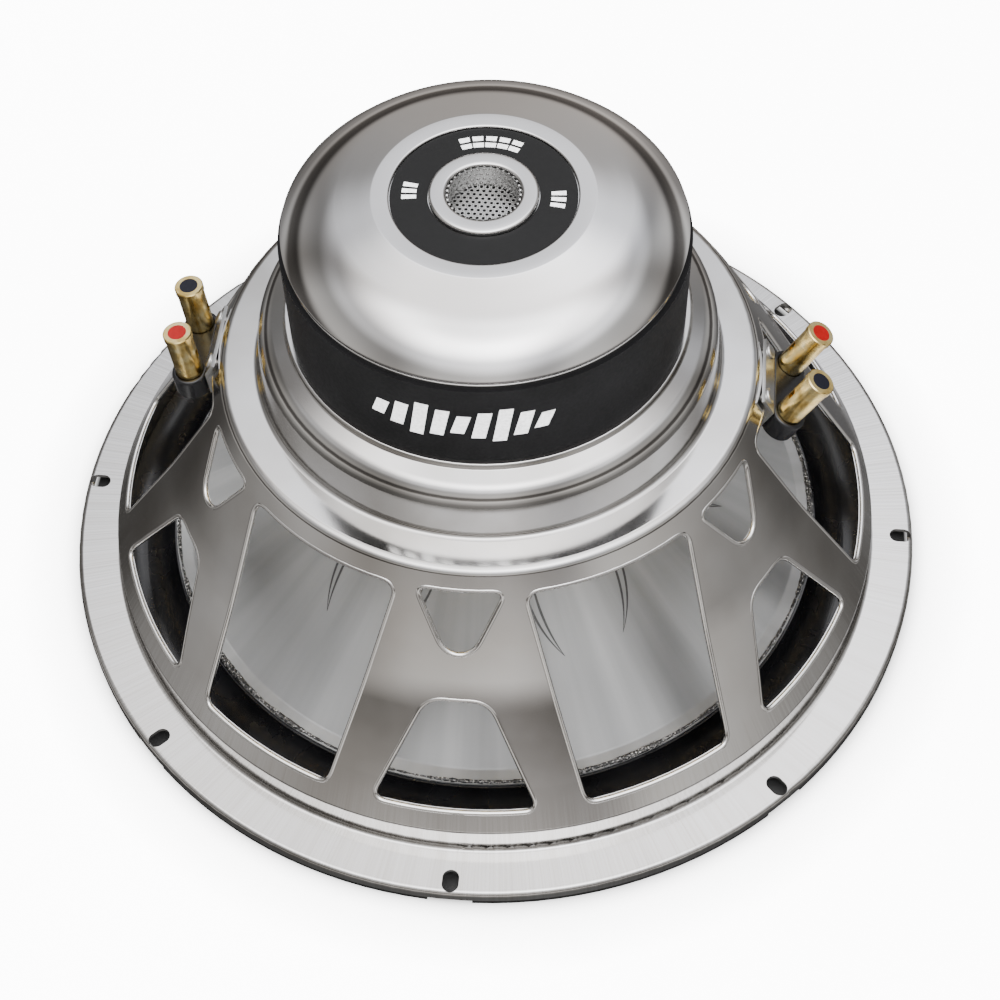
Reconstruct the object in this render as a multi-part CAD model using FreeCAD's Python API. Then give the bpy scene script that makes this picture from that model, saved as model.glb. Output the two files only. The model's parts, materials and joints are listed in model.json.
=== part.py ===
"""Car subwoofer, 12-inch class, lying on its front gasket with the motor up.

Frame: millimetres, +Z towards the motor, origin on the axis at the gasket's resting face.
Heights named "rel" are measured from the flange's rear face, which is at z = seat_z.
"""
import FreeCAD, Part
import math
import os
from FreeCAD import Vector

# ---- flange, gasket and screw slots
gasket_proud = 2.0          # gasket standing past the flange lip
lip_height = 4.4            # height of the turned-down flange lip
seat_z = gasket_proud + lip_height
sheet = 1.5                 # basket steel thickness
flange_r = 155.5
lip_bend_r = 2.0
slot_count = 8
slot_width = 5.6
slot_length = 7.9
slot_pitch_r = 150.8
gasket_gap = 15.0           # break in the gasket at each screw slot
gasket_outer_clear = 0.6
gasket_foot_back = 0.1      # the gasket's foot, under the lip, stops this far short of the lip's edge
gasket_inner_r = 139.5

# ---- basket walls above the flange (rel heights)
spigot_r = 138.8
spigot_h = 11.5
spigot_bend_r = 2.0
waist_r = 111.8             # the wall is slightly hollow at mid height
waist_h = 54.0
waist_bend_r = 200.0
shoulder_r = 89.7
shoulder_h = 94.0
shoulder_bend_r = 3.5
dome_foot_r = 77.0
dome_foot_bend_r = 2.2
dome_wall_r = 75.4
dome_wall_h = 112.5
dome_bend_r = 8.0
dome_top_r = 66.6
dome_top_h = 115.5
step_draft = 0.4
step_bend_r = 0.7
plate_seat_h = 117.3
neck_hole_r = 38.0

# ---- openings in the basket, six of each kind
web_count = 6
window_low_h = 17.5
window_high_h = 87.0
window_low_half = 26.8
window_high_half = 28.8
window_low_round = 3.5
window_high_round = 4.5
arch_low_h = 17.7
arch_high_h = 53.0
arch_low_half = 28.4
arch_high_half = 10.2
arch_low_round = 2.5
arch_high_round = 9.0
eye_tip_h = 57.5
eye_high_h = 87.8
eye_half = 14.9
eye_corner_round = 2.2
eye_tip_round = 7.6
web_first_angle = 30.0

# ---- motor
front_plate_t = 6.0
front_plate_r = 57.5
gap_outer_r = 27.6
magnet_t = 20.0
magnet_r = 60.5
magnet_hole_r = 30.0
back_plate_t = 6.0
back_plate_r = 57.5
pole_r = 24.4
pole_proud = 1.8            # pole standing past the front plate, towards the cone
vent_r = 11.6
boot_r = 64.5
boot_wall = 3.4
boot_lip_t = 1.6
boot_lip_reach = 8.0
plate_rivet_count = 4
plate_rivet_pitch_r = 50.0
plate_rivet_first_angle = 45.0
plate_rivet_r = 2.5
plate_rivet_head_r = 4.5
plate_rivet_head_t = 1.6

# ---- motor cap, label ring, vent collar and mesh
cap_wall = 2.0
cap_foot_r = 63.2
cap_groove_depth = 1.0
cap_edge_r = 63.5
cap_foot_h = 1.4
cap_foot_round = 0.4
cap_groove_h = 0.7
cap_edge_h = 1.2
cap_edge_round = 0.5
cap_knee_r = 55.5
cap_knee_h = 12.0
cap_knee_round = 30.0
cap_crown_r = 34.5
cap_crown_h = 15.9
cap_crown_round = 3.0
label_outer_r = 29.0
label_recess = 1.3
label_edge_round = 0.6
label_t = 0.5
collar_r = 17.2
collar_clear = 0.2
collar_tube_wall = 1.6
collar_rise = 1.6
collar_round = 1.0
mesh_clear = 0.1
mesh_wall = 0.8
mesh_depth = 8.0
mesh_below_collar = 0.8
mesh_hole_r = 0.8
mesh_hole_pitch = 3.0
mesh_hole_rings = 3

# ---- voice coil, cone, dust cap and suspension
former_inner_r = 25.0
former_wall = 0.4
winding_t = 0.8
winding_h = 20.0
former_past_winding = 1.0
glue_gap = 0.3              # space kept between a moving piece and the soft part glued to it
cone_t = 0.9
cone_neck_h = 74.0
cone_collar_h = 5.0
cone_mid_r = 70.0
cone_mid_h = 36.5
cone_mid_round = 160.0
cone_edge_r = 118.0
cone_edge_h = 6.0
cone_lip_width = 5.5
cone_lip_round = 2.0
cone_neck_round = 1.5
cap_seat_r = 48.0
dust_cap_rise = 14.0
dust_cap_t = 0.7
surround_t = 1.0
surround_bond = 6.5
surround_floor_clear = 0.7
surround_roll_outer_r = 139.0
surround_rim_r = 146.0
spider_t = 0.8
spider_rim_r = 86.0
spider_rim_width = 8.0
spider_cup = 9.0            # how far the spider rises from its rim to the former
spider_waves = 5
spider_wave_height = 3.2
spider_wave_round = 2.0
spider_inner_flat = 4.0

# ---- push terminals, one pair on each side (local frame: w along the barrel, n outwards)
terminal_r = 101.4
terminal_h = {"left": 84.5, "right": 82.0}
terminal_half_pitch = 10.3
terminal_tilt = {"left": 4.0, "right": 26.0}
terminal_angle = {"left": 180.0, "right": 0.0}
block_width = 12.4
block_t = 8.0
block_edge_round = 1.0
barrel_r = 4.6
barrel_bore_r = 3.5
barrel_top_t = 2.2
barrel_proud = 19.5
barrel_sink = 1.5
barrel_collar_r = 4.9
barrel_collar_h = 2.6
barrel_chamfer = 0.3
barrel_clear = 0.3
barrel_travel = 3.0
barrel_rest_gap = 1.0
insert_r = 3.1
insert_t = 1.2
wire_slot_width = 1.8
wire_slot_length = 3.6
wire_slot_from_top = 10.7
post_r = 3.0
post_from_top = 9.2
spring_r = 2.6
spring_wire_r = 0.3
spring_turns = 4.0
spring_points_per_turn = 12
spring_end_gap = 0.4
tag_t = 0.8
tag_width = 4.0
tag_length = 9.0
tag_hole_r = 0.9
tag_head_r = 3.6
bracket_t = 1.2
bracket_width = 27.0
bracket_past_edge = 0.8
bracket_top_gap = 1.6
bracket_rivet_r = 1.5
bracket_rivet_head_r = 2.6
bracket_rivet_head_t = 1.1
bracket_rivet_head_round = 0.66
bracket_rivet_half_pitch = 9.5
block_screw_r = 1.2
block_screw_depth = 3.0
block_screw_head_r = 2.3
block_screw_head_t = 1.0
block_screw_half_pitch = 4.0

# ---- tinsel leads
lead_r = 0.8
lead_sag = 5.0
lead_tag_slack = 2.0        # how far the lead's lowest run starts inwards of its tag
lead_rim_slack = 1.0        # and ends inwards of the spider's rim
lead_bend_share = 0.45      # each bend's radius as a share of the lowest run
lace_width = 2.4
lace_t = 0.7
lace_clear = 0.2            # stitching slack between a braid and the cloth

UP = Vector(0, 0, 1)
AXIS_START = Vector(0, 0, 0)
TINY = 1e-6


# ---------------------------------------------------------------- section helpers
def rz(r, z):
    return Vector(r, 0, z)


def turned(face):
    return face.revolve(AXIS_START, UP, 360)


def rounded_edges(points, radii):
    """Lines through the points, with a tangent arc of the given radius at each inner point."""
    edges = []
    start = points[0]
    for before, corner, after, radius in zip(points, points[1:], points[2:], radii):
        if radius <= 0:
            edges.append(Part.makeLine(start, corner))
            start = corner
            continue
        to_before = (before - corner).normalize()
        to_after = (after - corner).normalize()
        half = to_before.getAngle(to_after) / 2
        reach = radius / math.tan(half)
        first = corner + to_before * reach
        last = corner + to_after * reach
        middle = corner + (to_before + to_after).normalize() * (radius / math.sin(half) - radius)
        if (first - start).Length > TINY:
            edges.append(Part.makeLine(start, first))
        edges.append(Part.Arc(first, middle, last).toShape())
        start = last
    edges.append(Part.makeLine(start, points[-1]))
    return edges


def outline(points, radii):
    """Closed face through all the points, in any plane, each corner rounded by its radius."""
    middle = (points[0] + points[-1]) * 0.5
    path = [middle] + list(points) + [middle]
    return Part.Face(Part.Wire(rounded_edges(path, radii)))


def left_normal(a, b):
    along = (b - a).normalize()
    return Vector(-along.z, 0, along.x)


def offset_points(points, distance):
    """The polyline moved to its left by distance, with mitred corners, in the XZ plane."""
    moved = [points[0] + left_normal(points[0], points[1]) * distance]
    for before, corner, after in zip(points, points[1:], points[2:]):
        first = left_normal(before, corner)
        second = left_normal(corner, after)
        moved.append(corner + (first + second) * (distance / (1 + first.dot(second))))
    moved.append(points[-1] + left_normal(points[-2], points[-1]) * distance)
    return moved


def sheet_face(points, radii, thickness):
    """Section of a formed sheet: the polyline's surface, thickened to its left."""
    inner = offset_points(points, thickness)
    inner_radii = []
    for before, corner, after, radius in zip(points, points[1:], points[2:], radii):
        first = left_normal(before, corner)
        turns_left = first.dot((after - corner).normalize()) > 0
        inner_radii.append(max(radius + (-thickness if turns_left else thickness), 0) if radius else 0)
    near = rounded_edges(points, radii)
    far = rounded_edges(inner, inner_radii)
    far.reverse()
    ends = [Part.makeLine(points[-1], inner[-1]), Part.makeLine(inner[0], points[0])]
    return Part.Face(Part.Wire(Part.__sortEdges__(near + far + ends)))


def ring(inner_r, outer_r, low, high):
    body = Part.makeCylinder(outer_r, high - low, Vector(0, 0, low))
    if inner_r > 0:
        body = body.cut(Part.makeCylinder(inner_r, high - low, Vector(0, 0, low)))
    return body


def around(shape, angle):
    copy = shape.copy()
    copy.rotate(AXIS_START, UP, angle)
    return copy


def save(name, solids):
    """One STEP file holding the node's solids."""
    group = solids if isinstance(solids, list) else [solids]
    shape = group[0] if len(group) == 1 else Part.makeCompound(group)
    shape.exportStep("parts/" + name + ".step")


# ---------------------------------------------------------------- heights used by many pieces
flange_under_z = seat_z - sheet
shoulder_z = seat_z + shoulder_h
ledge_under_z = shoulder_z - sheet
plate_seat_z = seat_z + plate_seat_h
magnet_z = plate_seat_z + front_plate_t
yoke_z = magnet_z + magnet_t
motor_top_z = yoke_z + back_plate_t
boot_top_z = motor_top_z + boot_lip_t
cap_top_z = boot_top_z + cap_crown_h
label_floor_z = cap_top_z - label_recess
collar_top_z = label_floor_z + label_t + collar_rise
gap_middle_z = plate_seat_z + front_plate_t / 2
winding_low_z = gap_middle_z - winding_h / 2
winding_high_z = gap_middle_z + winding_h / 2
former_outer_r = former_inner_r + former_wall
cone_neck_z = seat_z + cone_neck_h
cone_edge_z = seat_z + cone_edge_h
lead_rim_r = spider_rim_r - spider_rim_width / 2


def wall_radius(rel):
    """Outer radius of the steep upper wall at a rel height."""
    share = (rel - waist_h) / (shoulder_h - waist_h)
    return waist_r + (shoulder_r - waist_r) * share


wall_slope = math.atan2(shoulder_h - waist_h, waist_r - shoulder_r)


# ---------------------------------------------------------------- basket, gasket
def basket_shell():
    lip_low = seat_z - lip_height
    points = [
        rz(flange_r, lip_low),
        rz(flange_r, seat_z),
        rz(spigot_r, seat_z),
        rz(spigot_r, seat_z + spigot_h),
        rz(waist_r, seat_z + waist_h),
        rz(shoulder_r, shoulder_z),
        rz(dome_foot_r, shoulder_z),
        rz(dome_wall_r, seat_z + dome_wall_h),
        rz(dome_top_r, seat_z + dome_top_h),
        rz(dome_top_r - step_draft, plate_seat_z),
        rz(neck_hole_r, plate_seat_z),
    ]
    radii = [lip_bend_r, spigot_bend_r, spigot_bend_r, waist_bend_r, shoulder_bend_r,
             dome_foot_bend_r, dome_bend_r, step_bend_r, step_bend_r]
    return turned(sheet_face(points, radii, sheet))


def radial_cutter(points, radii, angle):
    """Prism through the wall, drawn as (sideways, rel height) and pushed out along the radius."""
    start = neck_hole_r
    corners = [Vector(start, side, seat_z + rel) for side, rel in points]
    prism = outline(corners, radii).extrude(Vector(flange_r - start, 0, 0))
    return around(prism, angle)


def window_cutter(angle):
    points = [(-window_low_half, window_low_h), (window_low_half, window_low_h),
              (window_high_half, window_high_h), (-window_high_half, window_high_h)]
    rounds = [window_low_round, window_low_round, window_high_round, window_high_round]
    return radial_cutter(points, rounds, angle)


def arch_cutter(angle):
    points = [(-arch_low_half, arch_low_h), (arch_low_half, arch_low_h),
              (arch_high_half, arch_high_h), (-arch_high_half, arch_high_h)]
    rounds = [arch_low_round, arch_low_round, arch_high_round, arch_high_round]
    return radial_cutter(points, rounds, angle)


def eye_cutter(angle):
    points = [(eye_half, eye_high_h), (-eye_half, eye_high_h), (0.0, eye_tip_h)]
    return radial_cutter(points, [eye_corner_round, eye_corner_round, eye_tip_round], angle)


def slot_cutter(angle):
    half = slot_length / 2 - slot_width / 2
    low = flange_under_z - lip_bend_r
    depth = sheet + 2 * lip_bend_r
    corner = Vector(slot_pitch_r - half, -slot_width / 2, low)
    middle = Part.makeBox(2 * half, slot_width, depth, corner)
    outer = Part.makeCylinder(slot_width / 2, depth, Vector(slot_pitch_r + half, 0, low))
    inner = Part.makeCylinder(slot_width / 2, depth, Vector(slot_pitch_r - half, 0, low))
    return around(middle.fuse([outer, inner]).removeSplitter(), angle)


def plate_rivet_angles():
    step = 360 / plate_rivet_count
    return [plate_rivet_first_angle + k * step for k in range(plate_rivet_count)]


def make_basket():
    step = 360 / web_count
    cutters = []
    for k in range(web_count):
        web = web_first_angle + k * step
        cutters += [arch_cutter(web), eye_cutter(web), window_cutter(web + step / 2)]
    cutters += [slot_cutter(k * 360 / slot_count) for k in range(slot_count)]
    for angle in plate_rivet_angles():
        hole_start = Vector(plate_rivet_pitch_r, 0, plate_seat_z - 2 * sheet)
        cutters.append(around(Part.makeCylinder(plate_rivet_r, 2 * sheet, hole_start), angle))
    for side in terminal_tilt:
        cutters += [rivet_shank(side, t) for t in bracket_rivet_sides()]
    return basket_shell().cut(cutters)


def make_gasket():
    outer = flange_r - sheet - gasket_outer_clear
    foot_r = flange_r - gasket_foot_back
    rim_z = flange_under_z - surround_t
    points = [rz(gasket_inner_r, 0), rz(foot_r, 0), rz(foot_r, gasket_proud), rz(outer, gasket_proud),
              rz(outer, flange_under_z), rz(surround_rim_r, flange_under_z), rz(surround_rim_r, rim_z),
              rz(gasket_inner_r, rim_z)]
    whole = turned(Part.Face(Part.makePolygon(points + points[:1])))
    gaps = []
    for k in range(slot_count):
        gap = Part.makeBox(flange_r - spigot_r, gasket_gap, seat_z, Vector(spigot_r, -gasket_gap / 2, 0))
        gaps.append(around(gap, k * 360 / slot_count))
    return whole.cut(gaps).Solids


# ---------------------------------------------------------------- suspension and cone
def arc_with_lowest(a, b, low):
    """Centre and radius of the arc from a to b that dips to the height low."""
    middle = (a + b) * 0.5
    half = (b - a).Length / 2
    across = Vector(-(b - a).z, 0, (b - a).x).normalize()
    drop = middle.z - low
    p = 1 - across.z ** 2
    q = drop * across.z
    reach = (q - math.sqrt(q * q - p * (half * half - drop * drop))) / p
    return middle + across * reach, math.hypot(reach, half)


def make_surround():
    """Bond ring under the cone's lip, a half roll towards the front, and the rim under the flange."""
    bond_z = cone_edge_z - cone_t - glue_gap - surround_t / 2
    rim_z = flange_under_z - surround_t / 2
    start = rz(cone_edge_r + glue_gap, bond_z)
    end = rz(surround_roll_outer_r, rim_z)
    centre, radius = arc_with_lowest(start, end, surround_floor_clear + surround_t / 2)
    half = surround_t / 2
    lowest = centre + Vector(0, 0, -1) * radius

    def arc_at(distance):
        scale = distance / radius
        pts = [centre + (p - centre) * scale for p in (start, lowest, end)]
        return Part.Arc(*pts).toShape()

    outer, inner = arc_at(radius + half), arc_at(radius - half)
    sides = [Part.makeLine(outer.Vertexes[k].Point, inner.Vertexes[k].Point) for k in (0, 1)]
    roll = turned(Part.Face(Part.Wire(Part.__sortEdges__([outer, inner] + sides))))
    bond_inner = cone_edge_r - surround_bond
    bond = ring(bond_inner, start.x + half, bond_z - half, bond_z + half)
    rim = ring(end.x - half, surround_rim_r, rim_z - half, rim_z + half)
    return roll.fuse([bond, rim]).removeSplitter()


def spider_points():
    """Rear surface of the corrugated cup, from its rim on the basket ledge to the former."""
    rim_z = ledge_under_z
    rim_inner = spider_rim_r - spider_rim_width
    foot_r = former_outer_r + glue_gap
    wave_end = foot_r + spider_inner_flat
    span = rim_inner - wave_end
    steps = 2 * spider_waves
    points = [rz(spider_rim_r, rim_z), rz(rim_inner, rim_z)]
    for k in range(1, steps):
        share = k / steps
        swing = spider_wave_height / 2 * (-1 if k % 2 else 1)
        points.append(rz(rim_inner - span * share, rim_z + spider_cup * share + swing))
    return points + [rz(wave_end, rim_z + spider_cup), rz(foot_r, rim_z + spider_cup)]


def make_spider():
    points = spider_points()
    return turned(sheet_face(points, [spider_wave_round] * (len(points) - 2), spider_t))


def make_laced_leads():
    """Flat braids stitched along the spider's front side, one from each terminal to the former."""
    points = offset_points(spider_points(), spider_t + lace_clear)
    section = sheet_face(points, [spider_wave_round] * (len(points) - 2), lace_t)
    section.translate(Vector(0, -lace_width / 2, 0))
    braid = section.extrude(Vector(0, lace_width, 0))
    swing = math.degrees(math.asin(terminal_half_pitch / lead_rim_r))
    return [around(braid, terminal_angle[side] + turn) for side in terminal_tilt for turn in (-swing, swing)]


def cone_points():
    """Rear surface of the cone from its lip to its neck collar."""
    outer_r = former_outer_r + cone_t
    return [
        rz(cone_edge_r, cone_edge_z),
        rz(cone_edge_r - cone_lip_width, cone_edge_z),
        rz(cone_mid_r, seat_z + cone_mid_h),
        rz(outer_r, cone_neck_z),
        rz(outer_r, cone_neck_z + cone_collar_h),
    ]


def make_cone():
    radii = [cone_lip_round, cone_mid_round, cone_neck_round]
    return turned(sheet_face(cone_points(), radii, cone_t))


def cone_front_z(r):
    """Height of the cone's front surface at a radius on its inner stretch."""
    neck, mid = cone_points()[3], cone_points()[2]
    slope = (neck.z - mid.z) / (mid.x - neck.x)
    return mid.z + (mid.x - r) * slope - cone_t * math.sqrt(1 + slope * slope)


def make_dust_cap():
    edge = rz(cap_seat_r, cone_front_z(cap_seat_r) - glue_gap)
    crown = rz(0, edge.z - dust_cap_rise)
    radius = (cap_seat_r ** 2 + dust_cap_rise ** 2) / (2 * dust_cap_rise)
    centre = Vector(0, 0, crown.z + radius)
    outer = Part.makeSphere(radius, centre)
    inner = Part.makeSphere(radius - dust_cap_t, centre)
    keep = Part.makeCylinder(cap_seat_r, dust_cap_rise, crown)
    return outer.cut(inner).common(keep)


def make_former():
    front_z = cone_neck_z - cone_t
    return ring(former_inner_r, former_outer_r, front_z, winding_high_z + former_past_winding)


def make_winding(layer):
    inner_r = former_outer_r + layer * winding_t
    return ring(inner_r, inner_r + winding_t, winding_low_z, winding_high_z)


# ---------------------------------------------------------------- motor
def make_front_plate():
    plate = ring(gap_outer_r, front_plate_r, plate_seat_z, magnet_z)
    depth = front_plate_t / 2
    holes = []
    for angle in plate_rivet_angles():
        hole = Part.makeCylinder(plate_rivet_r, depth, Vector(plate_rivet_pitch_r, 0, plate_seat_z))
        holes.append(around(hole, angle))
    return plate.cut(holes)


def make_plate_rivets():
    rivets = []
    head_z = plate_seat_z - sheet - plate_rivet_head_t
    for angle in plate_rivet_angles():
        start = Vector(plate_rivet_pitch_r, 0, head_z)
        head = Part.makeCylinder(plate_rivet_head_r, plate_rivet_head_t, start)
        length = plate_rivet_head_t + sheet + front_plate_t / 2
        shank = Part.makeCylinder(plate_rivet_r, length, start)
        rivets.append(around(head.fuse(shank).removeSplitter(), angle))
    return rivets


def make_magnet():
    return ring(magnet_hole_r, magnet_r, magnet_z, yoke_z)


def make_yoke():
    plate = Part.makeCylinder(back_plate_r, back_plate_t, Vector(0, 0, yoke_z))
    pole_low = plate_seat_z - pole_proud
    pole = Part.makeCylinder(pole_r, motor_top_z - pole_low, Vector(0, 0, pole_low))
    vent = Part.makeCylinder(vent_r, motor_top_z - pole_low, Vector(0, 0, pole_low))
    return plate.fuse(pole).removeSplitter().cut(vent)


def make_boot():
    inner = boot_r - boot_wall
    sleeve = ring(inner, boot_r, plate_seat_z, boot_top_z)
    lip = ring(boot_r - boot_lip_reach, inner, motor_top_z, boot_top_z)
    return sleeve.fuse(lip).removeSplitter()


def make_motor_cap():
    foot_z = boot_top_z + cap_foot_h
    groove_z = foot_z + cap_groove_h
    edge_z = groove_z + cap_edge_h
    groove_r = cap_foot_r - cap_groove_depth
    outer = [
        rz(cap_foot_r, boot_top_z), rz(cap_foot_r, foot_z), rz(groove_r, foot_z), rz(groove_r, groove_z),
        rz(cap_edge_r, groove_z), rz(cap_edge_r, edge_z), rz(cap_knee_r, boot_top_z + cap_knee_h),
        rz(cap_crown_r, cap_top_z), rz(label_outer_r, cap_top_z), rz(label_outer_r, label_floor_z),
        rz(collar_r - collar_clear - collar_tube_wall, label_floor_z),
    ]
    outer_radii = [cap_foot_round, 0, 0, cap_foot_round, cap_edge_round, cap_knee_round, cap_crown_round,
                   label_edge_round, 0]
    inner_r = cap_foot_r - cap_groove_depth - cap_wall
    floor_under = label_floor_z - cap_wall
    inner = [
        rz(collar_r - collar_clear - collar_tube_wall, floor_under),
        rz(label_outer_r + cap_wall, floor_under),
        rz(cap_crown_r + cap_wall, cap_top_z - cap_wall),
        rz(cap_knee_r - cap_wall, boot_top_z + cap_knee_h - cap_wall),
        rz(inner_r, edge_z - cap_wall / 2), rz(inner_r, boot_top_z),
    ]
    shell = rounded_edges(outer, outer_radii)
    shell += [Part.makeLine(a, b) for a, b in zip(inner, inner[1:])]
    shell += [Part.makeLine(outer[-1], inner[0]), Part.makeLine(inner[-1], outer[0])]
    return turned(Part.Face(Part.Wire(Part.__sortEdges__(shell))))


def make_label_ring():
    return ring(collar_r, label_outer_r - collar_clear, label_floor_z, label_floor_z + label_t)


def make_vent_collar():
    """Rounded flange on the label floor and a tube down to the back plate."""
    tube_r = collar_r - 2 * collar_clear - collar_tube_wall
    inner = vent_r
    points = [rz(inner, motor_top_z), rz(tube_r, motor_top_z), rz(tube_r, label_floor_z),
              rz(collar_r - collar_clear, label_floor_z), rz(collar_r - collar_clear, collar_top_z),
              rz(inner, collar_top_z)]
    radii = [0, 0, 0, 0, collar_round, collar_round]
    return turned(outline(points, radii))


def make_vent_mesh():
    """Perforated cup inside the collar."""
    outer = vent_r - mesh_clear
    top = collar_top_z - mesh_below_collar
    cup = ring(outer - mesh_wall, outer, top - mesh_depth, top)
    floor = ring(0, outer, top - mesh_depth, top - mesh_depth + mesh_wall)
    holes = []
    for i in range(-mesh_hole_rings, mesh_hole_rings + 1):
        for j in range(-mesh_hole_rings, mesh_hole_rings + 1):
            if abs(i + j) > mesh_hole_rings:
                continue
            x = mesh_hole_pitch * (i + j / 2)
            y = mesh_hole_pitch * j * math.sqrt(3) / 2
            start = Vector(x, y, top - mesh_depth - mesh_wall / 2)
            holes.append(Part.makeCylinder(mesh_hole_r, 2 * mesh_wall, start))
    return cup.fuse(floor).removeSplitter().cut(holes)


# ---------------------------------------------------------------- terminals
def terminal_place(side):
    """Middle of the block's top face, in the side's radial plane."""
    return rz(terminal_r, seat_z + terminal_h[side])


def to_terminal(shape, side, sideways=0.0):
    """Move a shape from the local frame (X = n, Y = sideways, Z = w) to its place."""
    copy = shape.copy()
    copy.translate(Vector(0, sideways, 0))
    copy.rotate(AXIS_START, Vector(0, 1, 0), terminal_tilt[side])
    copy.translate(terminal_place(side))
    return around(copy, terminal_angle[side])


def barrel_sides():
    return [-terminal_half_pitch, terminal_half_pitch]


def bracket_rivet_sides():
    return [-bracket_rivet_half_pitch, bracket_rivet_half_pitch]


def pocket_floor_w():
    return -(barrel_sink + barrel_travel + barrel_rest_gap)


def make_block(side):
    """Oval moulding with a pocket for each barrel and a hole for each post."""
    half = block_width / 2
    low = -block_t
    corner = Vector(-half, -terminal_half_pitch, low)
    middle = Part.makeBox(block_width, 2 * terminal_half_pitch, block_t, corner)
    ends = [Part.makeCylinder(half, block_t, Vector(0, y, low)) for y in barrel_sides()]
    block = middle.fuse(ends).removeSplitter()
    top_edges = [e for e in block.Edges if max(abs(e.BoundBox.ZMin), abs(e.BoundBox.ZMax)) < TINY]
    block = block.makeFillet(block_edge_round, top_edges)
    cuts = []
    for y in barrel_sides():
        pocket_r = barrel_r + barrel_clear
        cuts.append(Part.makeCylinder(pocket_r, -pocket_floor_w(), Vector(0, y, pocket_floor_w())))
        cuts.append(Part.makeCylinder(post_r, block_t, Vector(0, y, low)))
    cuts += [block_screw_shank(y) for y in (-block_screw_half_pitch, block_screw_half_pitch)]
    return to_terminal(block.cut(cuts), side)


def barrel_body():
    """Gold sleeve, closed at the top, with a wire slot through both walls."""
    body = Part.makeCylinder(barrel_r, barrel_proud + barrel_sink, Vector(0, 0, -barrel_sink))
    collar = Part.makeCylinder(barrel_collar_r, barrel_collar_h, Vector(0, 0, barrel_proud - barrel_collar_h))
    collar = collar.makeChamfer(barrel_chamfer, [collar.Edges[0], collar.Edges[2]])
    body = body.fuse(collar).removeSplitter()
    bore_depth = barrel_proud - barrel_top_t + barrel_sink
    bore = Part.makeCylinder(barrel_bore_r, bore_depth, Vector(0, 0, -barrel_sink))
    recess = Part.makeCylinder(insert_r, insert_t, Vector(0, 0, barrel_proud - insert_t))
    slot_w = barrel_proud - wire_slot_from_top
    slot = Part.makeBox(4 * barrel_r, wire_slot_width, wire_slot_length,
                        Vector(-2 * barrel_r, -wire_slot_width / 2, slot_w - wire_slot_length / 2))
    return body.cut([bore, recess, slot])


def insert_body():
    return Part.makeCylinder(insert_r, insert_t, Vector(0, 0, barrel_proud - insert_t))


def post_body():
    """Fixed contact post, with the wire slot that lines up when the barrel is pressed."""
    top = barrel_proud - post_from_top
    post = Part.makeCylinder(post_r, top + block_t + tag_t, Vector(0, 0, -block_t - tag_t))
    slot_w = barrel_proud - wire_slot_from_top - barrel_travel
    slot = Part.makeBox(4 * post_r, wire_slot_width, wire_slot_length,
                        Vector(-2 * post_r, -wire_slot_width / 2, slot_w - wire_slot_length / 2))
    return post.cut(slot)


def spring_body():
    """Return spring between the post's top and the barrel's closed end."""
    low = barrel_proud - post_from_top + spring_wire_r + spring_end_gap
    high = barrel_proud - barrel_top_t - spring_wire_r - spring_end_gap
    path_r = spring_r - spring_wire_r
    count = round(spring_turns * spring_points_per_turn)
    points = []
    for k in range(count + 1):
        turn = 2 * math.pi * spring_turns * k / count
        rise = (high - low) * k / count
        points.append(Vector(path_r * math.cos(turn), path_r * math.sin(turn), low + rise))
    coil = Part.BSplineCurve()
    coil.interpolate(points)
    start = coil.tangent(coil.FirstParameter)[0]
    circle = Part.Wire(Part.makeCircle(spring_wire_r, points[0], start))
    return Part.Wire(coil.toShape()).makePipeShell([circle], True, False)


def tag_body():
    """Solder tag under the block, held by the post's foot and reaching inwards."""
    low = -block_t - tag_t
    strip = Part.makeBox(tag_length + tag_width / 2, tag_width, tag_t,
                         Vector(-tag_length, -tag_width / 2, low))
    head = Part.makeCylinder(tag_head_r, tag_t, Vector(0, 0, low))
    eye = Part.makeCylinder(tag_hole_r, tag_t, Vector(-tag_length + tag_width / 2, 0, low))
    foot = Part.makeCylinder(post_r, tag_t, Vector(0, 0, low))
    return strip.fuse(head).removeSplitter().cut([eye, foot])


def block_screw_shank(sideways):
    start = Vector(-block_width / 2 - bracket_t, sideways, -block_t / 2)
    return Part.makeCylinder(block_screw_r, block_screw_depth + bracket_t, start, Vector(1, 0, 0))


def block_screw(sideways):
    start = Vector(-block_width / 2 - bracket_t - block_screw_head_t, sideways, -block_t / 2)
    head = Part.makeCylinder(block_screw_head_r, block_screw_head_t, start, Vector(1, 0, 0))
    return head.fuse(block_screw_shank(sideways)).removeSplitter()


def bracket_lines(side):
    """Bracket section in the side's radial plane: on the wall above, along the block below."""
    tilt = math.radians(terminal_tilt[side])
    top_rel = shoulder_h - bracket_top_gap - shoulder_bend_r / 2
    wall_top = rz(wall_radius(top_rel), seat_z + top_rel)
    low_rel = window_high_h - bracket_past_edge
    wall_low = rz(wall_radius(low_rel), seat_z + low_rel)
    corner = terminal_place(side)
    inward = Vector(-math.cos(tilt), 0, math.sin(tilt))
    down = Vector(-math.sin(tilt), 0, -math.cos(tilt))
    face_low = corner + inward * (block_width / 2 + bracket_t) + down * block_t
    return wall_top, wall_low, face_low, down


def crossing(a, along_a, b, along_b):
    """Point where two lines in the XZ plane meet."""
    cross = along_a.x * along_b.z - along_a.z * along_b.x
    gap = b - a
    return a + along_a * ((gap.x * along_b.z - gap.z * along_b.x) / cross)


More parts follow.
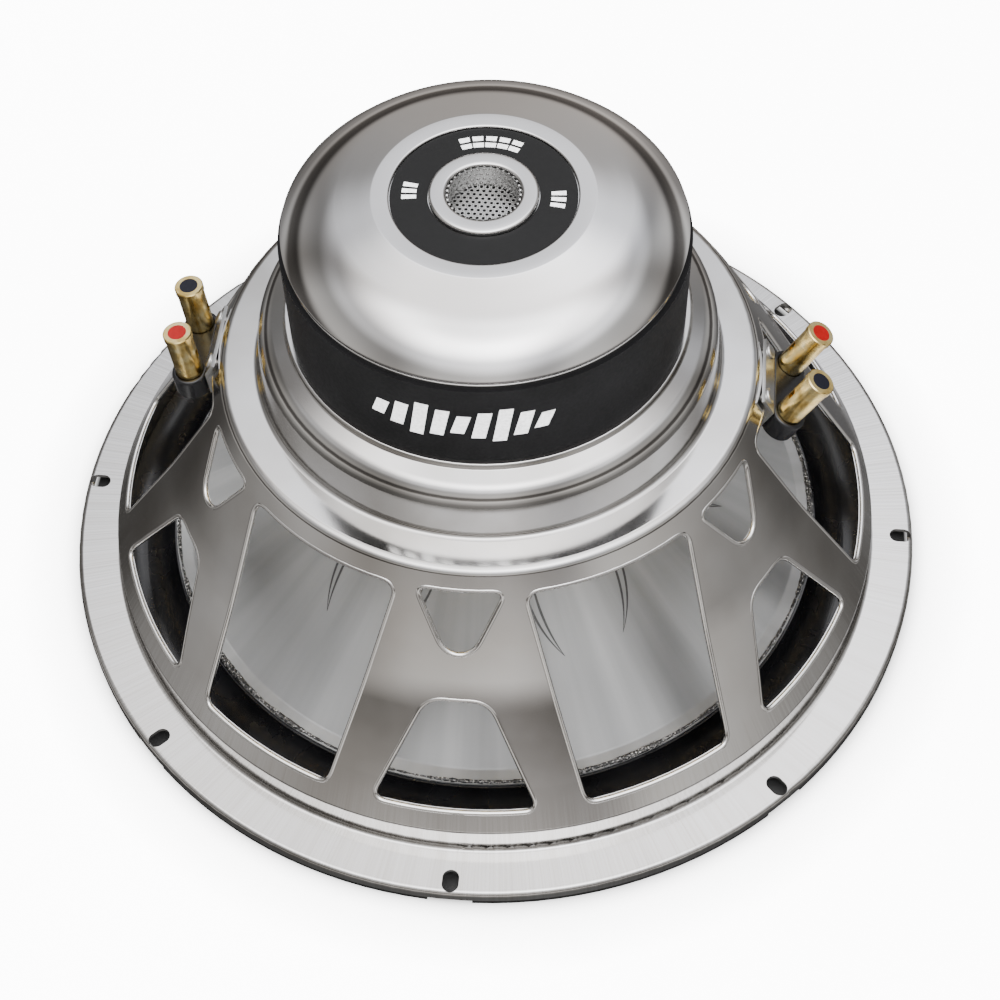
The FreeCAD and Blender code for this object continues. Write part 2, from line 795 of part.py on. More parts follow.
def make_bracket(side):
    wall_top, wall_low, face_low, down = bracket_lines(side)
    bend = crossing(wall_top, (wall_low - wall_top).normalize(), face_low, down)
    section = sheet_face([wall_top, bend, face_low], [0], bracket_t)
    section.translate(Vector(0, -bracket_width / 2, 0))
    plate = around(section.extrude(Vector(0, bracket_width, 0)), terminal_angle[side])
    cuts = [rivet_shank(side, t) for t in bracket_rivet_sides()]
    for y in (-block_screw_half_pitch, block_screw_half_pitch):
        cuts.append(to_terminal(block_screw_shank(y), side))
    return plate.cut(cuts)


def rivet_place(side):
    """Middle of the strip of wall that the bracket lies on, and the outward direction there."""
    wall_top, wall_low, _, _ = bracket_lines(side)
    out = Vector(math.sin(wall_slope), 0, math.cos(wall_slope))
    return (wall_top + wall_low) * 0.5, out


def rivet_shank(side, sideways):
    place, out = rivet_place(side)
    start = place - out * (2 * sheet) + Vector(0, sideways, 0)
    return around(Part.makeCylinder(bracket_rivet_r, 2 * sheet + bracket_t, start, out), terminal_angle[side])


def make_bracket_rivets():
    rivets = []
    for side in terminal_tilt:
        place, out = rivet_place(side)
        for sideways in bracket_rivet_sides():
            start = place + out * bracket_t + Vector(0, sideways, 0)
            head = Part.makeCylinder(bracket_rivet_head_r, bracket_rivet_head_t, start, out)
            head = head.makeFillet(bracket_rivet_head_round, [head.Edges[0]])
            head = around(head, terminal_angle[side])
            rivets.append(head.fuse(rivet_shank(side, sideways)).removeSplitter())
    return rivets


# ---------------------------------------------------------------- leads
def lead_path(side, sideways):
    """From the solder tag, in a slack loop, up to the spider's rim (side's radial plane)."""
    tilt = math.radians(terminal_tilt[side])
    corner = terminal_place(side)
    inward = Vector(-math.cos(tilt), 0, math.sin(tilt))
    down = Vector(-math.sin(tilt), 0, -math.cos(tilt))
    tag_end = corner + inward * (tag_length - tag_width / 2) + down * (block_t + tag_t + lead_r)
    rim = rz(lead_rim_r, ledge_under_z - spider_t - lace_clear - lace_t)
    below = rz(rim.x - lead_rim_slack, tag_end.z - lead_sag)
    points = [tag_end, rz(tag_end.x - lead_tag_slack, tag_end.z - lead_sag), below, rim]
    shift = Vector(0, sideways, 0)
    return [p + shift for p in points]


def make_lead_tails():
    tails = []
    for side in terminal_tilt:
        for y in barrel_sides():
            points = lead_path(side, y)
            reach = (points[1] - points[2]).Length * lead_bend_share
            path = Part.Wire(rounded_edges(points, [reach, reach]))
            start = (points[1] - points[0]).normalize()
            circle = Part.Wire(Part.makeCircle(lead_r, points[0], start))
            tails.append(around(path.makePipeShell([circle], True, False), terminal_angle[side]))
    return tails


def build():
    os.makedirs("parts", exist_ok=True)
    save("basket", make_basket())
    save("front_gasket", make_gasket())
    save("surround", make_surround())
    save("spider", make_spider())
    save("cone", make_cone())
    save("dust_cap", make_dust_cap())
    save("coil_former", make_former())
    save("winding_inner", make_winding(0))
    save("winding_outer", make_winding(1))
    save("front_plate", make_front_plate())
    save("plate_rivets", make_plate_rivets())
    save("magnet", make_magnet())
    save("pole_yoke", make_yoke())
    save("magnet_boot", make_boot())
    save("motor_cap", make_motor_cap())
    save("label_ring", make_label_ring())
    save("vent_collar", make_vent_collar())
    save("vent_mesh", make_vent_mesh())
    save("bracket_rivets", make_bracket_rivets())
    save("laced_leads", make_laced_leads())
    save("lead_tails", make_lead_tails())
    for side in terminal_tilt:
        save("terminal_block_" + side, make_block(side))
        save("terminal_bracket_" + side, make_bracket(side))
        screws = [block_screw(y) for y in (-block_screw_half_pitch, block_screw_half_pitch)]
        save("block_screws_" + side, [to_terminal(s, side) for s in screws])
        for colour, y in zip(("black", "red"), barrel_sides()):
            end = "_" + side + "_" + colour
            save("barrel" + end, to_terminal(barrel_body(), side, y))
            save("barrel_insert" + end, to_terminal(insert_body(), side, y))
            save("contact_post" + end, to_terminal(post_body(), side, y))
            save("return_spring" + end, to_terminal(spring_body(), side, y))
            save("solder_tag" + end, to_terminal(tag_body(), side, y))


build()
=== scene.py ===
"""Looks of the car subwoofer: finished pieces, materials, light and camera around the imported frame.

Lengths are metres in the frame's own axes: +Z up through the motor, origin on the driver's axis at the
gasket's resting face.
"""
import json
import math
import random

import bpy
import bmesh
from mathutils import Matrix, Vector


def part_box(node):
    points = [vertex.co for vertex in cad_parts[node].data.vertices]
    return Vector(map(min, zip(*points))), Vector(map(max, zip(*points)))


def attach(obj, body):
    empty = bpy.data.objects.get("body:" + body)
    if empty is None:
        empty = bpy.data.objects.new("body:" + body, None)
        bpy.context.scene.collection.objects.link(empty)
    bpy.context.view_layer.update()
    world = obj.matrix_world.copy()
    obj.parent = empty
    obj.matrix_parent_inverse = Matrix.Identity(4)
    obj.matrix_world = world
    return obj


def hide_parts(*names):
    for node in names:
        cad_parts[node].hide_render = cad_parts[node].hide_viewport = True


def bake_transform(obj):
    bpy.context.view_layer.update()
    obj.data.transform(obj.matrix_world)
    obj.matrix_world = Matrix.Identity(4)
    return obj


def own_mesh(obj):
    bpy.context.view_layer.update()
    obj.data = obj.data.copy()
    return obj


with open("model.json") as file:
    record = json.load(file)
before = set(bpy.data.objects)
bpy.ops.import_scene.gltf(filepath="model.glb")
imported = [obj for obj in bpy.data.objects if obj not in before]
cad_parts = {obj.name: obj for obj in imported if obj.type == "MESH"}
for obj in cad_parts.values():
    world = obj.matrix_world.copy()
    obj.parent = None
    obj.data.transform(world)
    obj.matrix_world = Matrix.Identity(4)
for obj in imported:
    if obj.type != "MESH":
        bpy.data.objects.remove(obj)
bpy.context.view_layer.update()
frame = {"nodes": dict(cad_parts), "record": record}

MM = 0.001
TURN = 2 * math.pi
SIDES = ("left", "right")
COLOURS = ("black", "red")
nodes = frame["nodes"]
random.seed(7)


# ---------------------------------------------------------------- sizes read from the frame
def low(node):
    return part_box(node)[0]


def high(node):
    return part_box(node)[1]


def outer_radius(node):
    return high(node).x


seat_z = 6.4 * MM
boot_r = outer_radius("magnet_boot")
boot_low_z = low("magnet_boot").z
label_top_z = high("label_ring").z
label_r = outer_radius("label_ring")
collar_r = outer_radius("vent_collar")


# ---------------------------------------------------------------- node material helpers
class Shader:
    """A principled material with a short way to add and link nodes."""

    def __init__(self, name, colour, metallic=0.0, roughness=0.5):
        self.material = bpy.data.materials.new(name)
        self.material.use_nodes = True
        self.tree = self.material.node_tree
        self.bsdf = self.tree.nodes["Principled BSDF"]
        self.set("Base Color", (*colour, 1.0))
        self.set("Metallic", metallic)
        self.set("Roughness", roughness)
        self.coords = self.add("ShaderNodeTexCoord").outputs["Object"]

    def set(self, socket, value):
        self.bsdf.inputs[socket].default_value = value

    def add(self, kind, **settings):
        node = self.tree.nodes.new(kind)
        for key, value in settings.items():
            setattr(node, key, value)
        return node

    def link(self, start, end):
        self.tree.links.new(start, end)

    def noise(self, scale, detail=3.0, coords=None, distortion=0.0):
        node = self.add("ShaderNodeTexNoise")
        node.inputs["Scale"].default_value = scale
        node.inputs["Detail"].default_value = detail
        node.inputs["Distortion"].default_value = distortion
        self.link(coords or self.coords, node.inputs["Vector"])
        return node.outputs["Fac"]

    def polar(self, turns, radial, height):
        """Coordinates (angle, radius, height) about Z, each scaled, for streaks and grooves."""
        split = self.add("ShaderNodeSeparateXYZ")
        self.link(self.coords, split.inputs[0])
        angle = self.maths("ARCTAN2", split.outputs[1], split.outputs[0])
        join = self.add("ShaderNodeCombineXYZ")
        self.link(self.maths("MULTIPLY", angle, turns), join.inputs[0])
        self.link(self.maths("MULTIPLY", self.radius(), radial), join.inputs[1])
        self.link(self.maths("MULTIPLY", split.outputs[2], height), join.inputs[2])
        return join.outputs[0]

    def radius(self):
        """Distance from the axis."""
        split = self.add("ShaderNodeSeparateXYZ")
        self.link(self.coords, split.inputs[0])
        x2, y2 = (self.maths("MULTIPLY", split.outputs[k], split.outputs[k]) for k in (0, 1))
        return self.maths("SQRT", self.maths("ADD", x2, y2))

    def stepped(self, value, start, end):
        """0 up to the start, 1 past the end."""
        node = self.add("ShaderNodeMapRange")
        node.inputs["From Min"].default_value = start
        node.inputs["From Max"].default_value = end
        self.link(value, node.inputs["Value"])
        return node.outputs["Result"]

    def maths(self, operation, a, b=None):
        node = self.add("ShaderNodeMath", operation=operation)
        for socket, value in zip(node.inputs, (a, b)):
            if value is None:
                continue
            if isinstance(value, (int, float)):
                socket.default_value = value
            else:
                self.link(value, socket)
        return node.outputs[0]

    def ramp(self, value, stops):
        """Colour ramp through (position, colour) stops; a grey stop may be one number."""
        node = self.add("ShaderNodeValToRGB")
        elements = node.color_ramp.elements
        while len(elements) < len(stops):
            elements.new(0.5)
        for element, (position, colour) in zip(elements, stops):
            element.position = position
            grey = (colour,) * 3 if isinstance(colour, (int, float)) else colour
            element.color = (*grey, 1.0)
        self.link(value, node.inputs["Fac"])
        return node.outputs["Color"]

    def spread(self, value, least, most):
        node = self.add("ShaderNodeMapRange")
        node.inputs["To Min"].default_value = least
        node.inputs["To Max"].default_value = most
        self.link(value, node.inputs["Value"])
        return node.outputs["Result"]

    def colour_from(self, value, stops):
        self.link(self.ramp(value, stops), self.bsdf.inputs["Base Color"])

    def roughness_from(self, value, least, most):
        self.link(self.spread(value, least, most), self.bsdf.inputs["Roughness"])

    def bump_from(self, value, strength, distance):
        node = self.add("ShaderNodeBump")
        node.inputs["Strength"].default_value = strength
        node.inputs["Distance"].default_value = distance
        self.link(value, node.inputs["Height"])
        self.link(node.outputs["Normal"], self.bsdf.inputs["Normal"])


def stops_about(colour, spread):
    """Three ramp stops round a colour, from a little darker to a little lighter."""
    return [(0.3, tuple(c * (1 - spread) for c in colour)), (0.5, colour),
            (0.7, tuple(min(c * (1 + spread), 1.0) for c in colour))]


# ---------------------------------------------------------------- materials
BRUSHING_START_R = 130 * MM
BRUSHING_FULL_R = 139 * MM


def basket_chrome():
    """Satin chrome, clouded on the webs and brushed outwards on the flange and riser."""
    shader = Shader("basket_chrome", (0.56, 0.545, 0.53), 1.0, 0.16)
    fine = shader.noise(1.0, 4.0, shader.polar(150.0, 14.0, 14.0))
    broad = shader.noise(1.0, 3.0, shader.polar(34.0, 8.0, 8.0))
    cloud = shader.noise(28.0, 3.0)
    fine_share = 0.6
    streaks = shader.maths("ADD", shader.maths("MULTIPLY", fine, fine_share),
                           shader.maths("MULTIPLY", broad, 1 - fine_share))
    brushed = shader.stepped(shader.radius(), BRUSHING_START_R, BRUSHING_FULL_R)
    clouded = shader.maths("MULTIPLY", cloud, shader.maths("SUBTRACT", 1.0, brushed))
    streaked = shader.maths("MULTIPLY", streaks, brushed)
    mixed = shader.maths("ADD", streaked, clouded)
    shader.colour_from(mixed, [(0.30, (0.50, 0.485, 0.465)), (0.5, (0.58, 0.57, 0.555)),
                               (0.70, (0.64, 0.635, 0.63))])
    shader.roughness_from(mixed, 0.04, 0.20)
    shader.bump_from(streaked, 0.16, 0.0003)
    return shader.material


def bead_chrome_painted_highlight():
    # A lighter copy of the basket's plated steel: a painted highlight along the rolled edges of the
    # openings.
    shader = Shader("bead_chrome_painted_highlight", (0.84, 0.83, 0.82), 1.0, 0.14)
    wear = shader.noise(150.0, 4.0)
    shader.colour_from(wear, stops_about((0.84, 0.83, 0.81), 0.05))
    shader.roughness_from(wear, 0.08, 0.24)
    shader.bump_from(shader.noise(500.0, 3.0), 0.12, 0.0001)
    return shader.material


def mirror_chrome():
    shader = Shader("mirror_chrome", (0.80, 0.79, 0.78), 1.0, 0.08)
    cloud = shader.noise(40.0, 4.0)
    shader.roughness_from(cloud, 0.035, 0.13)
    shader.colour_from(cloud, stops_about((0.80, 0.79, 0.78), 0.03))
    shader.bump_from(shader.noise(22.0, 2.0), 0.05, 0.0003)
    return shader.material


def plated_steel():
    shader = Shader("plated_steel", (0.62, 0.62, 0.61), 1.0, 0.32)
    grain = shader.noise(900.0, 4.0)
    shader.colour_from(shader.noise(120.0), stops_about((0.62, 0.62, 0.61), 0.10))
    shader.roughness_from(grain, 0.22, 0.45)
    shader.bump_from(grain, 0.15, 0.00005)
    return shader.material


def gold_plate():
    shader = Shader("gold_plate", (0.93, 0.72, 0.36), 1.0, 0.16)
    wear = shader.noise(260.0, 4.0)
    shader.colour_from(wear, [(0.32, (0.70, 0.48, 0.15)), (0.5, (0.97, 0.74, 0.30)),
                              (0.7, (1.0, 0.86, 0.48))])
    shader.roughness_from(wear, 0.16, 0.32)
    shader.bump_from(shader.noise(900.0), 0.08, 0.00004)
    return shader.material


def enamel(name, colour):
    shader = Shader(name, colour, 0.0, 0.35)
    shader.set("Specular IOR Level", 0.25)
    shader.colour_from(shader.noise(700.0), stops_about(colour, 0.12))
    shader.roughness_from(shader.noise(300.0), 0.28, 0.45)
    shader.bump_from(shader.noise(500.0), 0.08, 0.00005)
    return shader.material


def black_rubber(name, colour, rough, grain_scale, strength):
    shader = Shader(name, colour, 0.0, rough)
    shader.set("Specular IOR Level", 0.14)
    grain = shader.noise(grain_scale, 5.0)
    dust = shader.noise(45.0, 5.0)
    shader.colour_from(dust, stops_about(colour, 0.35))
    shader.roughness_from(grain, rough - 0.10, rough + 0.12)
    shader.bump_from(grain, strength, 0.00008)
    return shader.material


def moulded_black():
    shader = Shader("moulded_black", (0.004, 0.004, 0.0045), 0.0, 0.2)
    grain = shader.noise(1200.0, 3.0)
    shader.colour_from(shader.noise(90.0), stops_about((0.004, 0.004, 0.0045), 0.3))
    shader.roughness_from(grain, 0.14, 0.26)
    shader.bump_from(grain, 0.05, 0.00003)
    return shader.material


def surround_rubber():
    shader = Shader("surround_rubber", (0.004, 0.004, 0.0045), 0.0, 0.3)
    rings = shader.noise(1.0, 3.0, shader.polar(5.0, 2600.0, 600.0))
    cloud = shader.noise(60.0, 4.0)
    shader.colour_from(cloud, stops_about((0.004, 0.004, 0.0045), 0.35))
    shader.roughness_from(cloud, 0.18, 0.36)
    shader.bump_from(rings, 0.18, 0.00012)
    return shader.material


def cone_paper():
    shader = Shader("cone_paper", (0.34, 0.35, 0.345), 0.35, 0.42)
    radial = shader.noise(1.0, 3.0, shader.polar(9.0, 7.0, 4.0))
    fibre = shader.noise(700.0, 5.0)
    shader.colour_from(radial, [(0.25, (0.14, 0.142, 0.142)), (0.5, (0.18, 0.182, 0.182)),
                                (0.75, (0.225, 0.227, 0.225))])
    shader.roughness_from(fibre, 0.34, 0.52)
    shader.bump_from(fibre, 0.12, 0.00008)
    return shader.material


def spider_cloth():
    shader = Shader("spider_cloth", (0.60, 0.47, 0.25), 0.0, 0.75)
    weave = shader.add("ShaderNodeTexChecker")
    weave.inputs["Scale"].default_value = 1600.0
    shader.link(shader.coords, weave.inputs["Vector"])
    fibre = shader.noise(900.0, 4.0)
    shader.colour_from(shader.noise(60.0), stops_about((0.60, 0.47, 0.25), 0.18))
    shader.roughness_from(fibre, 0.62, 0.85)
    shader.bump_from(shader.maths("ADD", weave.outputs["Fac"], fibre), 0.4, 0.0001)
    return shader.material


def copper_braid():
    shader = Shader("copper_braid", (0.75, 0.42, 0.22), 1.0, 0.35)
    strand = shader.noise(2600.0, 3.0, distortion=2.0)
    shader.colour_from(strand, stops_about((0.75, 0.42, 0.22), 0.3))
    shader.roughness_from(strand, 0.25, 0.5)
    shader.bump_from(strand, 0.5, 0.0001)
    return shader.material


def winding_copper():
    shader = Shader("winding_copper", (0.62, 0.27, 0.12), 1.0, 0.3)
    wire = shader.add("ShaderNodeTexWave", bands_direction="Z")
    wire.inputs["Scale"].default_value = 400.0
    shader.link(shader.coords, wire.inputs["Vector"])
    shader.colour_from(wire.outputs["Fac"], [(0.0, (0.35, 0.13, 0.05)), (1.0, (0.70, 0.33, 0.15))])
    shader.roughness_from(shader.noise(300.0), 0.22, 0.4)
    shader.bump_from(wire.outputs["Fac"], 0.6, 0.0002)
    return shader.material


def ferrite():
    shader = Shader("ferrite", (0.05, 0.05, 0.055), 0.0, 0.6)
    grain = shader.noise(500.0, 6.0)
    shader.colour_from(grain, stops_about((0.05, 0.05, 0.055), 0.4))
    shader.roughness_from(grain, 0.5, 0.75)
    shader.bump_from(grain, 0.3, 0.0002)
    return shader.material


def silver_print(name, colour):
    shader = Shader(name, colour, 0.3, 0.4)
    fleck = shader.noise(1100.0, 5.0)
    shader.colour_from(fleck, stops_about(colour, 0.2))
    shader.roughness_from(fleck, 0.3, 0.55)
    shader.bump_from(fleck, 0.3, 0.00006)
    return shader.material


def glue():
    shader = Shader("glue", (0.55, 0.54, 0.50), 0.15, 0.3)
    fleck = shader.noise(1500.0, 6.0)
    # Near-black glue with pale flecks; the flecks are partly the glue's own pale colour and partly painted
    # glints.
    shader.colour_from(fleck, [(0.46, (0.004, 0.004, 0.004)), (0.58, (0.06, 0.058, 0.055)),
                               (0.72, (0.55, 0.54, 0.52))])
    shader.roughness_from(fleck, 0.15, 0.5)
    shader.bump_from(fleck, 0.8, 0.0005)
    return shader.material


MATERIALS = {
    "chrome_steel": basket_chrome(),
    "chrome_cap": mirror_chrome(),
    "plated_steel": plated_steel(),
    "mesh_steel": plated_steel(),
    "spring_steel": plated_steel(),
    "tinned_brass": plated_steel(),
    "former_aluminium": plated_steel(),
    "gold_plate": gold_plate(),
    "red_insert": enamel("red_enamel", (0.15, 0.0002, 0.0002)),
    "black_insert": enamel("black_enamel", (0.003, 0.0032, 0.006)),
    "label_film": enamel("label_film", (0.0025, 0.0025, 0.0025)),
    "boot_rubber": black_rubber("boot_rubber", (0.0032, 0.0032, 0.0035), 0.60, 900.0, 0.25),
    "gasket_rubber": black_rubber("gasket_foam", (0.005, 0.005, 0.005), 0.75, 1500.0, 0.6),
    "surround_rubber": surround_rubber(),
    "silver_paper": cone_paper(),
    "spider_cloth": spider_cloth(),
    "copper_braid": copper_braid(),
    "copper_wire": winding_copper(),
    "ferrite": ferrite(),
    "black_plastic": moulded_black(),
    "bead_chrome_painted_highlight": bead_chrome_painted_highlight(),
    "glue": glue(),
    "silver_print": silver_print("silver_print", (0.62, 0.62, 0.62)),
    "white_print": silver_print("white_print", (0.86, 0.86, 0.86)),
    "stroke_ink": silver_print("stroke_ink", (0.035, 0.035, 0.035)),
}
slot_of = {row["node"]: row["material_slot"] for row in frame["record"]["subparts"]}


def dress(thing, slot, material=None):
    """Give a piece its slot's material, or another one, in every material slot it has."""
    chosen = material or MATERIALS[slot]
    data = thing.data
    if not data.materials:
        data.materials.append(chosen)
    for index in range(len(data.materials)):
        data.materials[index] = chosen


def dress_cad_nodes():
    for name, thing in nodes.items():
        dress(thing, slot_of[name])


# ---------------------------------------------------------------- mesh helpers
def new_piece(name, bm, slot, body, material=None, smooth_angle=0.6, recalculate=True):
    """Object from a bmesh, shaded, dressed and riding on its body."""
    if recalculate:
        bmesh.ops.recalc_face_normals(bm, faces=bm.faces)
    mesh = bpy.data.meshes.new(name)
    bm.to_mesh(mesh)
    bm.free()
    thing = bpy.data.objects.new(name, mesh)
    bpy.context.scene.collection.objects.link(thing)
    mesh.shade_smooth()
    mesh.set_sharp_from_angle(angle=smooth_angle)
    dress(thing, slot, material)
    if body:
        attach(thing, body)
    return thing


def lathe(profile, segments=256):
    """Closed (r, z) profile turned about Z."""
    bm = bmesh.new()
    rings = []
    for k in range(segments):
        angle = TURN * k / segments
        rings.append([bm.verts.new((r * math.cos(angle), r * math.sin(angle), z)) for r, z in profile])
    count = len(profile)
    for k in range(segments):
        here, after = rings[k], rings[(k + 1) % segments]
        for i in range(count):
            j = (i + 1) % count
            bm.faces.new((here[i], after[i], after[j], here[j]))
    return bm


def bent_line(points, radii, steps=10):
    """(point, normal) pairs along an open (r, z) line with rounded corners, normals to its right."""
    corners = [Vector(point) for point in points]
    result = []

    def right_of(start, end):
        along = (end - start).normalized()
        return Vector((along.y, -along.x))

    result.append((corners[0], right_of(corners[0], corners[1])))
    for before, corner, after, radius in zip(corners, corners[1:], corners[2:], radii):
        to_before, to_after = (before - corner).normalized(), (after - corner).normalized()
        half = to_before.angle(to_after) / 2
        centre = corner + (to_before + to_after).normalized() * (radius / math.sin(half))
        first = corner + to_before * (radius / math.tan(half)) - centre
        last = corner + to_after * (radius / math.tan(half)) - centre
        sign = 1 if first.dot(right_of(before, corner)) > 0 else -1
        for step in range(steps + 1):
            spoke = first.slerp(last, step / steps).normalized()
            result.append((centre + spoke * radius, spoke * sign))
    result.append((corners[-1], right_of(corners[-2], corners[-1])))
    return result


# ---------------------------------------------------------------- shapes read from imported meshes
def welded(node):
    """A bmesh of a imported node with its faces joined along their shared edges."""
    bm = bmesh.new()
    bm.from_mesh(nodes[node].data)
    bmesh.ops.remove_doubles(bm, verts=bm.verts, dist=0.004 * MM)
    return bm


def seam_profile(node):
    """The closed (r, z) section of a turned node, from the edges in its +X half-plane."""
    bm = welded(node)
    links = {}
    for edge in bm.edges:
        if all(abs(v.co.y) < 0.002 * MM and v.co.x > 0 for v in edge.verts):
            start, end = edge.verts
            links.setdefault(start, []).append(end)
            links.setdefault(end, []).append(start)
    first = here = min(links, key=lambda v: (v.co.z, v.co.x))
    before, profile = None, []
    while True:
        profile.append((here.co.x, here.co.z))
        after = next(v for v in links[here] if v is not before)
        before, here = here, after
        if here is first:
            break
    bm.free()
    return profile


def clipped(profile, limit, inside):
    """The part of a closed (r, z) section with r under the limit, or over it."""
    sign = 1 if inside else -1
    result = []
    for (r0, z0), (r1, z1) in zip(profile, profile[1:] + profile[:1]):
        if sign * (limit - r0) >= 0:
            result.append((r0, z0))
        if (limit - r0) * (limit - r1) < 0:
            share = (limit - r0) / (r1 - r0)
            result.append((limit, z0 + (z1 - z0) * share))
    return result


def turned_copy(name, node, body="frame", segments=288, smooth_angle=0.55):
    """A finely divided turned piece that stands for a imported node."""
    piece = new_piece(name, lathe(seam_profile(node), segments), slot_of[node], body, None, smooth_angle)
    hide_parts(node)
    return piece


def free_copy(name, node, body=None):
    """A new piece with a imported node's own mesh, for pieces that bend or flatten."""
    piece = new_piece(name, welded(node), slot_of[node], body)
    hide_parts(node)
    return piece


# ---------------------------------------------------------------- basket
sheet = 1.5 * MM
near_sheet = 0.15 * MM              # how far off the section a vertex may lie and still belong to it
wall_lean = math.radians(30.0)      # how far the wall's outward direction points up
wall_facing = 0.8                   # least cosine between a wall face's normal and that direction
sharp_angle = 0.7
bead_r = 0.95 * MM
bead_spacing = 1.1 * MM
bead_smoothings = 2
shortest_bead = 60 * MM             # the rivet holes and screw slots have no bead
last_opening_r = 140 * MM
# Rear face of the sheet: radius, height above the flange's rear face, and bend radius, in millimetres
BASKET_SECTION = [
    (155.5, -4.4, 0.0),     # edge of the lip
    (155.5, 0.0, 2.0),      # lip to flange
    (138.8, 0.0, 2.0),      # flange to riser
    (138.8, 11.5, 2.0),     # riser to wall
    (111.8, 54.0, 200.0),   # the wall's slight hollow
    (89.7, 94.0, 3.5),      # wall to ledge
    (77.0, 94.0, 2.2),      # ledge to dome
    (75.4, 112.5, 8.0),     # the dome's shoulder
    (66.6, 115.5, 0.7),     # dome to step
    (66.2, 117.3, 0.7),     # step to plate seat
    (38.0, 117.3, 0.0),     # edge of the neck hole
]


def basket_section():
    """The rear face of the pressed sheet, from the lip's edge over the wall to the neck."""
    points = [(r * MM, seat_z + height * MM) for r, height, bend in BASKET_SECTION]
    radii = [bend * MM for r, height, bend in BASKET_SECTION[1:-1]]
    return bent_line(points, radii)


def side_of_sheet(section, spot):
    """Which face of the sheet a (r, z) spot is on, 1 rear, -1 front or 0 neither, and the normal there."""
    best = None
    for (a, normal_a), (b, normal_b) in zip(section, section[1:]):
        along = b - a
        share = min(max((spot - a).dot(along) / max(along.length_squared, 1e-16), 0.0), 1.0)
        nearest = a + along * share
        gap = (spot - nearest).length
        if best is None or gap < best[0]:
            best = gap, normal_a.lerp(normal_b, share).normalized(), nearest
    gap, normal, nearest = best
    if gap < near_sheet:
        return 1, normal
    if abs(gap - sheet) < near_sheet and (spot - nearest).dot(normal) < 0:
        return -1, -normal
    return 0, normal


def clean_normals(mesh):
    """Shade the pressed sheet by its own section; cut edges stay flat."""
    section = basket_section()
    known = {}
    sides = []
    for vertex in mesh.vertices:
        spot = Vector((math.hypot(vertex.co.x, vertex.co.y), vertex.co.z))
        key = round(spot.x / (0.01 * MM)), round(spot.y / (0.01 * MM))
        if key not in known:
            known[key] = side_of_sheet(section, spot)
        sides.append(known[key])
    normals = []
    for face in mesh.polygons:
        on = {sides[i][0] for i in face.vertices}
        for index in face.vertices:
            normal = face.normal
            if len(on) == 1 and 0 not in on:
                co = mesh.vertices[index].co
                r = math.hypot(co.x, co.y)
                out, up = sides[index][1]
                turned = Vector((out * co.x / r, out * co.y / r, up))
                if turned.dot(face.normal) > 0.1:
                    normal = turned
            normals.append(normal)
    mesh.normals_split_custom_set(normals)


def opening_loops(bm):
    """Closed loops of (point, outward direction) along the outer edges of the wall's openings."""
    links, outward = {}, {}
    for edge in bm.edges:
        if len(edge.link_faces) != 2 or edge.calc_face_angle(0.0) < sharp_angle:
            continue
        middle = (edge.verts[0].co + edge.verts[1].co) / 2
        angle = math.atan2(middle.y, middle.x)
        wall = Vector((math.cos(angle) * math.cos(wall_lean), math.sin(angle) * math.cos(wall_lean),
                       math.sin(wall_lean)))
        facing = max(edge.link_faces, key=lambda f: f.normal.dot(wall))
        if facing.normal.dot(wall) < wall_facing:
            continue
        for vertex, other in (edge.verts, reversed(edge.verts)):
            links.setdefault(vertex, []).append(other)
            outward[vertex] = facing.normal.copy()
    loops, seen = [], set()
    for first in links:
        if first in seen or len(links[first]) != 2:
            continue
        loop, before, here = [], None, first
        while here not in seen:
            seen.add(here)
            loop.append((here.co.copy(), outward[here]))
            after = [v for v in links[here] if v is not before and v not in seen]
            if not after:
                break
            before, here = here, after[0]
        loops.append(loop)
    return loops


def evenly(points, spacing):
    """A closed line's points, spaced evenly."""
    lengths = [0.0]
    ring = points + points[:1]
    for a, b in zip(ring, ring[1:]):
        lengths.append(lengths[-1] + (b - a).length)
    count = max(int(lengths[-1] / spacing), 12)
    result, index = [], 0
    for k in range(count):
        want = lengths[-1] * k / count
        while lengths[index + 1] < want:
            index += 1
        share = (want - lengths[index]) / max(lengths[index + 1] - lengths[index], 1e-9)
        result.append(ring[index].lerp(ring[index + 1], share))
    return result


def closed_tube(bm, points, radius, around=12):
    """A round bead along a closed line, with no twist where it meets itself."""
    count = len(points)
    rings = []
    for k, point in enumerate(points):
        along = (points[(k + 1) % count] - points[k - 1]).normalized()
        side = along.cross(Vector((point.x, point.y, 0)).normalized()).normalized()
        out = side.cross(along).normalized()
        rings.append([bm.verts.new(point + (side * math.cos(TURN * j / around)
                                            + out * math.sin(TURN * j / around)) * radius)
                      for j in range(around)])
    for k in range(count):
        here, after = rings[k], rings[(k + 1) % count]
        for j in range(around):
            i = (j + 1) % around
            bm.faces.new((here[j], here[i], after[i], after[j]))


def make_basket():
    bm = welded("basket")
    loops = opening_loops(bm)
    piece = new_piece("basket_pressing", bm, "chrome_steel", None, recalculate=False)
    clean_normals(piece.data)
    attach(piece, "frame")
    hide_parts("basket")
    beads = bmesh.new()
    for loop in loops:
        length = sum((a[0] - b[0]).length for a, b in zip(loop, loop[1:]))
        reach = max(math.hypot(point.x, point.y) for point, outward in loop)
        if length < shortest_bead or reach > last_opening_r:
            continue
        line = [point - outward * (sheet / 2) for point, outward in loop]
        points = evenly(line, bead_spacing)
        for _ in range(bead_smoothings):
            count = len(points)
            points = [(points[k - 1] + points[k] * 2 + points[(k + 1) % count]) / 4 for k in range(count)]
        closed_tube(beads, points, bead_r)
    new_piece("basket_opening_beads", beads, "chrome_steel", "frame", MATERIALS["bead_chrome_painted_highlight"])


# ---------------------------------------------------------------- suspension and cone
trough_r = 130.6 * MM               # the roll's lowest circle, where its still half begins
glue_points, glue_around = 720, 8
glue_inset = 0.9 * MM
glue_width = 1.3                    # of its height
strokes_count = 12
stroke_inner_r, stroke_outer_r = 58 * MM, 84 * MM
stroke_bend, stroke_gap = 0.13, 0.05


